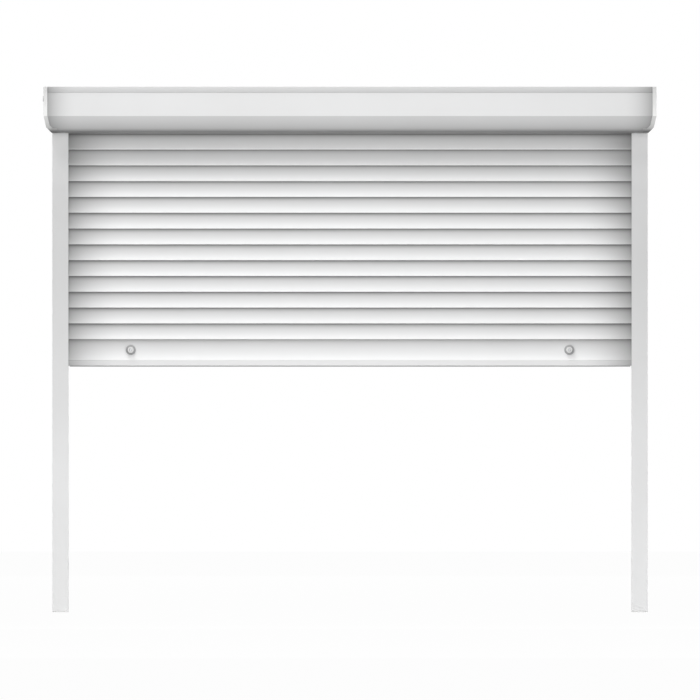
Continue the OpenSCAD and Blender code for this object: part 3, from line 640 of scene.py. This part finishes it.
# %% [markdown]
# Pieces, first step: slats from their true section
#
# A slat is rolled from thin sheet. Its front is a long hollow that sinks in under the slat above and comes
# out to a straight lip, and its top carries the hook that hangs in the next slat. Light slides over that
# hollow, so it wants a finer curve than the imported mesh has. The section is drawn once, with its arcs as
# arcs, and run along X for every slat. The hook keeps its place, so the pieces still interlock. Each point
# of the section also stores how much painted shade it gets under the lip above, and the paint of the slats
# reads that.

# %% From a section to a piece
SHARP_ANGLE = math.radians(32)


def put(name, mesh, body, slot, *replaced, paint=None):
    """Turn a mesh into a piece: smooth curves, crisp corners, a finish, a body and what it stands for."""
    mesh.shade_smooth()
    mesh.set_sharp_from_angle(angle=SHARP_ANGLE)
    mesh.materials.clear()
    mesh.materials.append(paint or finishes[slot])
    piece = bpy.data.objects.new(name, mesh)
    bpy.context.collection.objects.link(piece)
    if body:
        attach(piece, body)
    if replaced:
        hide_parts(*replaced)
    return piece


def meshed(shape, name):
    """Close a bmesh into a mesh."""
    mesh = bpy.data.meshes.new(name)
    shape.to_mesh(mesh)
    shape.free()
    return mesh


def run_along(outline, low, high, place, lip_shade_of=None):
    """A closed outline run between two ends, as a mesh. place turns (end, point) into x, y, z.
    The last argument gives, for a point, how deep the painted shade under the lip is there, from 0 to 1."""
    shape = bmesh.new()
    ends = [[shape.verts.new(place(end, point)) for point in outline] for end in (low, high)]
    for here in range(len(outline)):
        after = (here + 1) % len(outline)
        shape.faces.new((ends[0][here], ends[0][after], ends[1][after], ends[1][here]))
    shape.faces.new(ends[0])
    shape.faces.new(ends[1])
    bmesh.ops.recalc_face_normals(shape, faces=shape.faces)
    mesh = meshed(shape, "section")
    if lip_shade_of:
        layer = mesh.attributes.new("lip_shade", "FLOAT", "POINT")
        layer.data.foreach_set("value", [lip_shade_of(point) for point in outline] * len(ends))
    return mesh


print("section helpers are ready")

# %% Measures of the slat's section
COVE_DEPTH = 0.007
SHOULDER_GAP = 0.0025
SLAT_LIP_H = 0.003
LIP_ROUND = 0.0012
FRONT_LIP_T = 0.0015
CAVITY_H = 0.0076
LEG_T = 0.001
LEDGE_T = 0.0012
NECK_T = 0.0012
NECK_SLIDE = 0.0008
BARB_T = 0.0014
BARB_HOLD = 0.0012
half_t = (slat_high.y - slat_low.y) / 2
slat_mid_y = (slat_high.y + slat_low.y) / 2
neck_back = LEG_T + NECK_SLIDE - half_t
ledge_tip = neck_back + NECK_T + NECK_SLIDE
barb_tip = ledge_tip + BARB_HOLD
print("slat thickness:", round(2 * half_t, 4), "m")

# %% Hollow front, hook and lip
COVE_STEPS = 20
LIP_STEPS = 6


def cove_radius(height, lip):
    """Radius of the hollow front that sinks in by the cove's depth above the lip."""
    rise = height - SHOULDER_GAP - lip
    return (rise * rise + COVE_DEPTH * COVE_DEPTH) / (2 * COVE_DEPTH)


def front_at(z, height, lip):
    """How far the face stands out from the middle of the section at a height."""
    below = height - SHOULDER_GAP - max(z, lip)
    radius = cove_radius(height, lip)
    return half_t - COVE_DEPTH + radius - math.sqrt(radius * radius - below * below)


def hook_and_cove(height, lip, barb_top):
    """Outline from the back, over the hook and down the hollow front to the lip."""
    shoulder = height - SHOULDER_GAP
    neck_front = neck_back + NECK_T
    rise = [lip + (shoulder - lip) * (1 - step / COVE_STEPS) for step in range(COVE_STEPS + 1)]
    return [
        (-half_t, shoulder), (neck_back, shoulder), (neck_back, barb_top), (barb_tip, barb_top),
        (barb_tip, barb_top - BARB_T), (neck_front, barb_top - BARB_T), (neck_front, shoulder),
    ] + [(front_at(z, height, lip), z) for z in rise]


def rounded_lip(front):
    """The lower front corner of a section, a quarter circle that ends on the bottom."""
    turns = [-math.pi / 2 * step / LIP_STEPS for step in range(LIP_STEPS + 1)]
    return [(front - LIP_ROUND + LIP_ROUND * math.cos(turn), LIP_ROUND + LIP_ROUND * math.sin(turn))
            for turn in turns]


print("cove radius:", round(cove_radius(slat_pitch, SLAT_LIP_H), 4), "m")

# %% Painted shade under the lip
ON_FACE = 1e-6


def lip_shade_on(height, lip, most=1.0, band=None):
    """How much painted shade a point of a section gets: most on the hook and under the lip above, and down
    the hollow front less and less, to nothing at its own lip. A band, (out, top, value), is a flat strip
    apart."""
    def lip_shade_at(point):
        out, z = point
        shoulder = height - SHOULDER_GAP
        if band and z <= band[1] and abs(out - band[0]) < ON_FACE:
            return band[2]
        if z > shoulder - ON_FACE and out > ON_FACE - half_t:
            return most
        on_face = abs(out - front_at(min(z, shoulder), height, lip)) < ON_FACE
        return most * max(0.0, (z - lip) / (shoulder - lip)) if on_face else 0.0
    return lip_shade_at


print("shelter of a slat's back:", lip_shade_on(slat_pitch, SLAT_LIP_H)((-half_t, 0.0)))

# %% Thirteen slats
def slat_section():
    """Outline of one slat: (towards the front, up), from its lower edge."""
    pocket = [
        (ledge_tip, 0.0), (ledge_tip, LEDGE_T), (half_t - FRONT_LIP_T, LEDGE_T),
        (half_t - FRONT_LIP_T, CAVITY_H), (LEG_T - half_t, CAVITY_H), (LEG_T - half_t, 0.0),
    ]
    hook = hook_and_cove(slat_pitch, SLAT_LIP_H, slat_high.z - slat_low.z)
    return [(-half_t, 0.0)] + hook + rounded_lip(half_t) + pocket


def slat_mesh(bottom):
    """A slat whose lower edge is at a height."""
    return run_along(slat_section(), slat_low.x, slat_high.x,
                     lambda x, point: (x, slat_mid_y - point[0], bottom + point[1]),
                     lip_shade_on(slat_pitch, SLAT_LIP_H))


for number, name in enumerate(slat_names):
    put("rolled_" + name, slat_mesh(slat_low.z - number * slat_pitch), "curtain", "slat_white", name)
print("slats drawn:", len(slat_names))

# %% [markdown]
# Pieces, second step: slats that come off the winding
#
# When the curtain goes down, more slats leave the box. They can't all ride on the curtain, because at rest
# they are wound up. They could be shown one after another, but then the curtain would jump. So one piece
# stands for them. Its rest shape is worked out backwards, for a blend from the box, where nothing moves, to
# the top of the curtain, so that such a blend would draw it out to true slats when the curtain is fully down.
# At rest it lies folded together behind the panel.

# %% Payout slats
HALVINGS = 50
lift = next(joint for joint in frame["joints"] if joint["name"] == "curtain_lift")
lowered = lift["range_m"][0]
still_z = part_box("infeed_slats")[1].z
payout_count = int((still_z - curtain_top - lowered) / slat_pitch)


def folded(z_full):
    """Rest height of a point that has to be at z_full when the curtain is down, by halving. The share of
    the curtain's motion that a point takes grows along a smooth step."""
    low, high = curtain_top, still_z
    for _ in range(HALVINGS):
        middle = (low + high) / 2
        share = (still_z - middle) / (still_z - curtain_top)
        moved = middle + lowered * share * share * (3 - 2 * share)
        low, high = (middle, high) if moved < z_full else (low, middle)
    return (low + high) / 2


payout = bmesh.new()
for number in range(payout_count):
    payout.from_mesh(slat_mesh(curtain_top + lowered + number * slat_pitch))
for vertex in payout.verts:
    vertex.co.z = folded(vertex.co.z)
payout_slats = put("payout_slats", meshed(payout, "payout_slats"), None, "slat_white", "infeed_slats",
                   paint=payout_paint)
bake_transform(payout_slats)
print("payout slats:", payout_count, "up to", round(still_z, 4))

# %% [markdown]
# Pieces, third step: the bottom bar and its stoppers
#
# The bar has the same hollow front as a slat, with a taller lip that stands back a little and a slot for
# the rubber strip. The two stoppers are turned cones that keep the bar from slipping into the box. Each has
# a white cap on its nose, with a screw in the cap's recess. A Screw modifier could turn the profiles. Rings
# of points are set one by one here, because the first ring has to lie on the hollow face of the bar.

# %% Bottom bar
BAR_LIP_H = 0.021
BAR_LIP_SET = 0.0012
STEP_EASE = 0.0006
# Painted shade on the bar: under the lip above, a little less than on a slat, and a band of it on the face of
# its own lip.
BAR_SHADE_MOST = 0.92
BAR_LIP_BAND_SHADE = 0.4
GROOVE_T = 0.0054
GROOVE_NECK_T = 0.003
GROOVE_LIP_H = 0.0014
GROOVE_H = 0.004
bar_low, bar_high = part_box("bottom_bar")
bar_height = curtain_top - len(slat_names) * slat_pitch - bar_low.z
lip_front = half_t - BAR_LIP_SET
slot_mid = -BAR_LIP_SET / 2
step_z = BAR_LIP_H - SLAT_LIP_H
seal_slot = [
    (slot_mid + GROOVE_NECK_T / 2, 0.0), (slot_mid + GROOVE_NECK_T / 2, GROOVE_LIP_H),
    (slot_mid + GROOVE_T / 2, GROOVE_LIP_H), (slot_mid + GROOVE_T / 2, GROOVE_H),
    (slot_mid - GROOVE_T / 2, GROOVE_H), (slot_mid - GROOVE_T / 2, GROOVE_LIP_H),
    (slot_mid - GROOVE_NECK_T / 2, GROOVE_LIP_H), (slot_mid - GROOVE_NECK_T / 2, 0.0),
]
bar_outline = (
    [(-half_t, 0.0)]
    + hook_and_cove(bar_height, BAR_LIP_H, bar_high.z - bar_low.z)
    + [(half_t, step_z + STEP_EASE), (half_t - STEP_EASE, step_z), (lip_front, step_z)]
    + rounded_lip(lip_front)
    + seal_slot)
bar_mesh = run_along(bar_outline, bar_low.x, bar_high.x,
                     lambda x, point: (x, slat_mid_y - point[0], bar_low.z + point[1]),
                     lip_shade_on(bar_height, BAR_LIP_H, BAR_SHADE_MOST, (lip_front, step_z, BAR_LIP_BAND_SHADE)))
put("rolled_bottom_bar", bar_mesh, "curtain", "slat_white", "bottom_bar")
print("bar height:", round(bar_height, 4))

# %% Turned shapes
TURN_STEPS = 48


def turned(profile, centre, outwards):
    """A profile of (radius, distance outwards) turned round an axis through centre, with its rings."""
    axis = Vector(outwards).normalized()
    side = axis.orthogonal().normalized()
    upright = axis.cross(side)
    spin = [2 * math.pi * step / TURN_STEPS for step in range(TURN_STEPS)]
    shape = bmesh.new()
    rings = []
    for radius, out in profile:
        hub = Vector(centre) + axis * out
        rings.append([
            shape.verts.new(hub + (side * math.cos(turn) + upright * math.sin(turn)) * radius)
            for turn in spin])
    for lower, upper in zip(rings, rings[1:]):
        for here in range(TURN_STEPS):
            after = (here + 1) % TURN_STEPS
            shape.faces.new((lower[here], lower[after], upper[after], upper[here]))
    shape.faces.new(rings[0])
    shape.faces.new(rings[-1])
    bmesh.ops.recalc_face_normals(shape, faces=shape.faces)
    return shape, rings


print("turned shapes have", TURN_STEPS, "sides")

# %% Profile of a stopper
STOPPER_R = 0.0165
STOPPER_FOOT = 0.004
STOPPER_BASE_L = 0.012
BASE_EASE = 0.0009
STOPPER_NOSE_R = 0.010
CONE_INSET = 0.0017
CONE_EASE_R = 0.0007
CONE_EASE_L = 0.0005
CONE_END = 0.020
NECK_EASE = 0.001
NECK_FLARE = 0.0006
NECK_SET = 0.0001
CAP_FROM = 0.0255
stopper_profile = [
    (STOPPER_R, STOPPER_FOOT),
    (STOPPER_R, STOPPER_BASE_L - BASE_EASE),
    (STOPPER_R - BASE_EASE / 3, STOPPER_BASE_L - BASE_EASE / 3),
    (STOPPER_R - BASE_EASE, STOPPER_BASE_L),
    (STOPPER_R - CONE_INSET, STOPPER_BASE_L),
    (STOPPER_R - CONE_INSET - CONE_EASE_R, STOPPER_BASE_L + CONE_EASE_L),
    (STOPPER_NOSE_R + NECK_FLARE, CONE_END - NECK_EASE),
    (STOPPER_NOSE_R + NECK_SET, CONE_END),
    (STOPPER_NOSE_R - NECK_SET, CONE_END + NECK_EASE),
    (STOPPER_NOSE_R - NECK_SET, CAP_FROM),
]
print("stopper profile:", len(stopper_profile), "points")

# %% Stoppers with white caps
TOWARDS_FRONT = (0.0, -1.0, 0.0)
CAP_EASE = ((0.0, 0.0014), (0.0004, 0.0005), (0.0013, 0.0))
RECESS_R = 0.005
RECESS_H = 0.005
RECESS_EASE = 0.0006
RECESS_FLOOR = 0.0005
BORE_R = 0.0022


def cap_profile(nose):
    """Profile of a cap whose front is at the nose: rounded edge, recess and bore."""
    floor_out = nose - RECESS_H + RECESS_FLOOR
    return (
        [(BORE_R, CAP_FROM), (STOPPER_NOSE_R, CAP_FROM)]
        + [(STOPPER_NOSE_R - inwards, nose - back) for inwards, back in CAP_EASE]
        + [(RECESS_R + RECESS_EASE, nose), (RECESS_R, nose - RECESS_EASE)]
        + [(RECESS_R, floor_out), (BORE_R, floor_out)])


for side in ("left", "right"):
    name = "stopper_" + side
    low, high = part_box(name)
    middle = Vector(((low.x + high.x) / 2, slat_mid_y, (low.z + high.z) / 2))
    cone, rings = turned(stopper_profile, middle, TOWARDS_FRONT)
    for vertex in rings[0]:
        vertex.co.y = slat_mid_y - front_at(vertex.co.z - bar_low.z, bar_height, BAR_LIP_H)
    put("turned_" + name, meshed(cone, name), "curtain", "stopper_grey", name)
    cap = turned(cap_profile(middle.y - low.y), middle, TOWARDS_FRONT)[0]
    put("cap_of_" + name, meshed(cap, name), "curtain", "plastic_white")
    print(name, "stands out to y =", round(low.y, 4))

# %% [markdown]
# Pieces, fourth step: screws
#
# The screws are pan heads with a cross recess. A bump in the material could draw the cross, but it would be
# gone in a close view from the side. So the head is turned with a low dome, and two crossed bars are cut
# out of it with an exact boolean, which makes the cross real geometry.

# %% Pan head with a cross
HEAD_R = 0.004
HEAD_H = 0.0025
SHANK_R = 0.0019
SHANK_TIP = 0.6
DOME = ((1.0, 0.35), (0.93, 0.66), (0.75, 0.88), (0.45, 0.98), (0.1, 1.0))
CROSS_LENGTH = 0.62
CROSS_WIDTH = 0.17
CROSS_DEPTH = 0.6


def linked(name, mesh):
    """A plain object in the scene, for a modifier to work on."""
    thing = bpy.data.objects.new(name, mesh)
    bpy.context.collection.objects.link(thing)
    return thing


def cross_cutter(top, axis):
    """Two crossed bars, half sunk into the top of a head."""
    length, width, depth = (2 * HEAD_R * CROSS_LENGTH, 2 * HEAD_R * CROSS_WIDTH, HEAD_H * CROSS_DEPTH)
    place = Matrix.Translation(top) @ axis.to_track_quat("Z", "Y").to_matrix().to_4x4()
    shape = bmesh.new()
    for size in ((length, width, 2 * depth), (width, length, 2 * depth)):
        bmesh.ops.create_cube(shape, size=1.0, matrix=place @ Matrix.Diagonal(size + (1.0,)))
    return linked("cross", meshed(shape, "cross"))


def pan_head(shank_l, seat, outwards):
    """A screw whose head lies on seat and points outwards, as a mesh."""
    axis = Vector(outwards).normalized()
    shank = [(SHANK_R * SHANK_TIP, -shank_l), (SHANK_R, SHANK_R - shank_l), (SHANK_R, 0.0), (HEAD_R, 0.0)]
    dome = [(HEAD_R * across, HEAD_H * up) for across, up in DOME]
    body = linked("screw", meshed(turned(shank + dome, seat, outwards)[0], "screw"))
    cutter = cross_cutter(Vector(seat) + axis * HEAD_H, axis)
    cut = body.modifiers.new("cross", "BOOLEAN")
    cut.operation = "DIFFERENCE"
    cut.solver = "EXACT"
    cut.use_self = True
    cut.object = cutter
    graph = bpy.context.evaluated_depsgraph_get()
    mesh = bpy.data.meshes.new_from_object(body.evaluated_get(graph))
    bpy.data.objects.remove(cutter)
    bpy.data.objects.remove(body)
    return mesh


print("cross is", round(2 * HEAD_R * CROSS_LENGTH, 5), "m long")

# %% Screws of the stoppers and of the panel
DOWNWARDS = (0.0, 0.0, -1.0)


def joined(meshes, name):
    """Several meshes as one."""
    shape = bmesh.new()
    for mesh in meshes:
        shape.from_mesh(mesh)
    return meshed(shape, name)


screw_low, screw_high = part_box("stopper_screws")
stopper_low, stopper_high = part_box("stopper_right")
screw_z = (screw_low.z + screw_high.z) / 2
screw_seat = screw_low.y + HEAD_H
stopper_x = (stopper_low.x + stopper_high.x) / 2
stopper_screws = [pan_head(screw_high.y - screw_seat, (x, screw_seat, screw_z), TOWARDS_FRONT)
                  for x in (-stopper_x, stopper_x)]
put("cross_stopper_screws", joined(stopper_screws, "stopper_screws"), "curtain", "steel", "stopper_screws")
low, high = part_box("panel_screws")
panel_screw_x = high.x - HEAD_R
panel_screw_y = (low.y + high.y) / 2
panel_seat = low.z + HEAD_H
panel_screws = [pan_head(high.z - panel_seat, (x, panel_screw_y, panel_seat), DOWNWARDS)
                for x in (-panel_screw_x, panel_screw_x)]
put("cross_panel_screws", joined(panel_screws, "panel_screws"), "frame", "steel", "panel_screws")
print("screws with a cross:", len(stopper_screws) + len(panel_screws))

# %% [markdown]
# Pieces, fifth step: sealing strips in the rails
#
# The strips are rubber with fine ribs towards the slats, so that they press lightly. An array of ribs could
# be laid on a flat strip, but that leaves loose blocks. A comb-shaped section, run along the rail, gives
# base and ribs in one.

# %% Ribbed strips
RIBS = 5
RIB_GAP = 0.45
STRIP_BASE = 0.4
DEPTH_DIGITS = 5


def ribbed_section(x_low, x_high, y_base, y_tip):
    """Comb outline in (x, y): a flat base with ribs that point from y_base to y_tip."""
    rib_step = (x_high - x_low) / RIBS
    web = y_base + (y_tip - y_base) * STRIP_BASE
    outline = [(x_low, y_base), (x_high, y_base)]
    for rib in range(RIBS):
        right = x_high - rib * rib_step
        left = right - rib_step * (1 - RIB_GAP)
        outline += [(right, y_tip), (left, y_tip), (left, web), (right - rib_step, web)]
    return outline


for side in ("left", "right"):
    name = "rail_seals_" + side
    low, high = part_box(name)
    depths = sorted({round(vertex.co.y, DEPTH_DIGITS) for vertex in frame["nodes"][name].data.vertices})
    strips = [run_along(ribbed_section(low.x, high.x, base, tip), low.z, high.z,
                        lambda z, point: (point[0], point[1], z))
              for base, tip in ((depths[0], depths[1]), (depths[-1], depths[-2]))]
    put("ribbed_" + name, joined(strips, name), "frame", "rubber_black", name)
print("ribs on each strip:", RIBS)

# %% [markdown]
# Pieces, sixth step: softened sheet and moulded edges
#
# No edge of a bent sheet or a moulded cap is knife-sharp: it has a small radius that catches a thin line of
# light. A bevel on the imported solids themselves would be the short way, but these stay as they are. So each
# piece is a cleaned copy of its solid with a narrow bevel along the sharp edges, and it stands for that
# solid. Smooth shading would spread the bevel's slope over the flat faces beside it, so the normals are
# weighted by face area and the flats stay flat.

# %% Helpers for softened copies
EDGE_ANGLE = math.radians(24)
FLAT_ANGLE = math.radians(0.4)
SAME_POINT = 1e-6
BEVEL_SEGMENTS = 2
AREA_WEIGHT = 100
own_paint = {
    "box_shell": shell_paint, "front_panel": panel_paint,
    "end_cap_left": cap_paint, "end_cap_right": cap_paint,
    "rail_cover_left": rail_paint, "rail_cover_right": rail_paint,
}


def flats_kept(piece):
    """The piece's mesh with normals that follow its large flat faces, so that only the rounding shades."""
    weigh = piece.modifiers.new("flats", "WEIGHTED_NORMAL")
    weigh.keep_sharp = True
    weigh.weight = AREA_WEIGHT
    graph = bpy.context.evaluated_depsgraph_get()
    mesh = bpy.data.meshes.new_from_object(piece.evaluated_get(graph))
    piece.modifiers.remove(weigh)
    return mesh


def softened(name, radius):
    """A copy of a solid with its flat faces joined and its sharp edges rounded."""
    solid = frame["nodes"][name]
    shape = bmesh.new()
    shape.from_mesh(solid.data)
    bmesh.ops.remove_doubles(shape, verts=shape.verts, dist=SAME_POINT)
    bmesh.ops.dissolve_limit(shape, angle_limit=FLAT_ANGLE, verts=shape.verts, edges=shape.edges)
    sharp = [edge for edge in shape.edges
             if len(edge.link_faces) == 2 and edge.calc_face_angle() > EDGE_ANGLE]
    bmesh.ops.bevel(shape, geom=sharp, offset=radius, segments=BEVEL_SEGMENTS, profile=0.5, affect="EDGES",
                    clamp_overlap=True)
    bmesh.ops.recalc_face_normals(shape, faces=shape.faces)
    piece = put("soft_" + name, meshed(shape, name), solid["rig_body"], slot_of[name], name,
                paint=own_paint.get(name))
    piece.data = flats_kept(piece)
    return piece


print("pieces with a paint of their own:", len(own_paint))

# %% Softened copies
SOFT_EDGES = {
    "end_cap_left": 0.0008, "end_cap_right": 0.0008, "front_panel": 0.0003, "box_shell": 0.0003,
    "rail_cover_left": 0.0004, "rail_cover_right": 0.0004, "rail_foot_left": 0.0005,
    "rail_foot_right": 0.0005, "bar_plug_left": 0.0004, "bar_plug_right": 0.0004,
}
for name, radius in SOFT_EDGES.items():
    soft = softened(name, radius)
    print("softened:", name, "faces", len(soft.data.polygons))
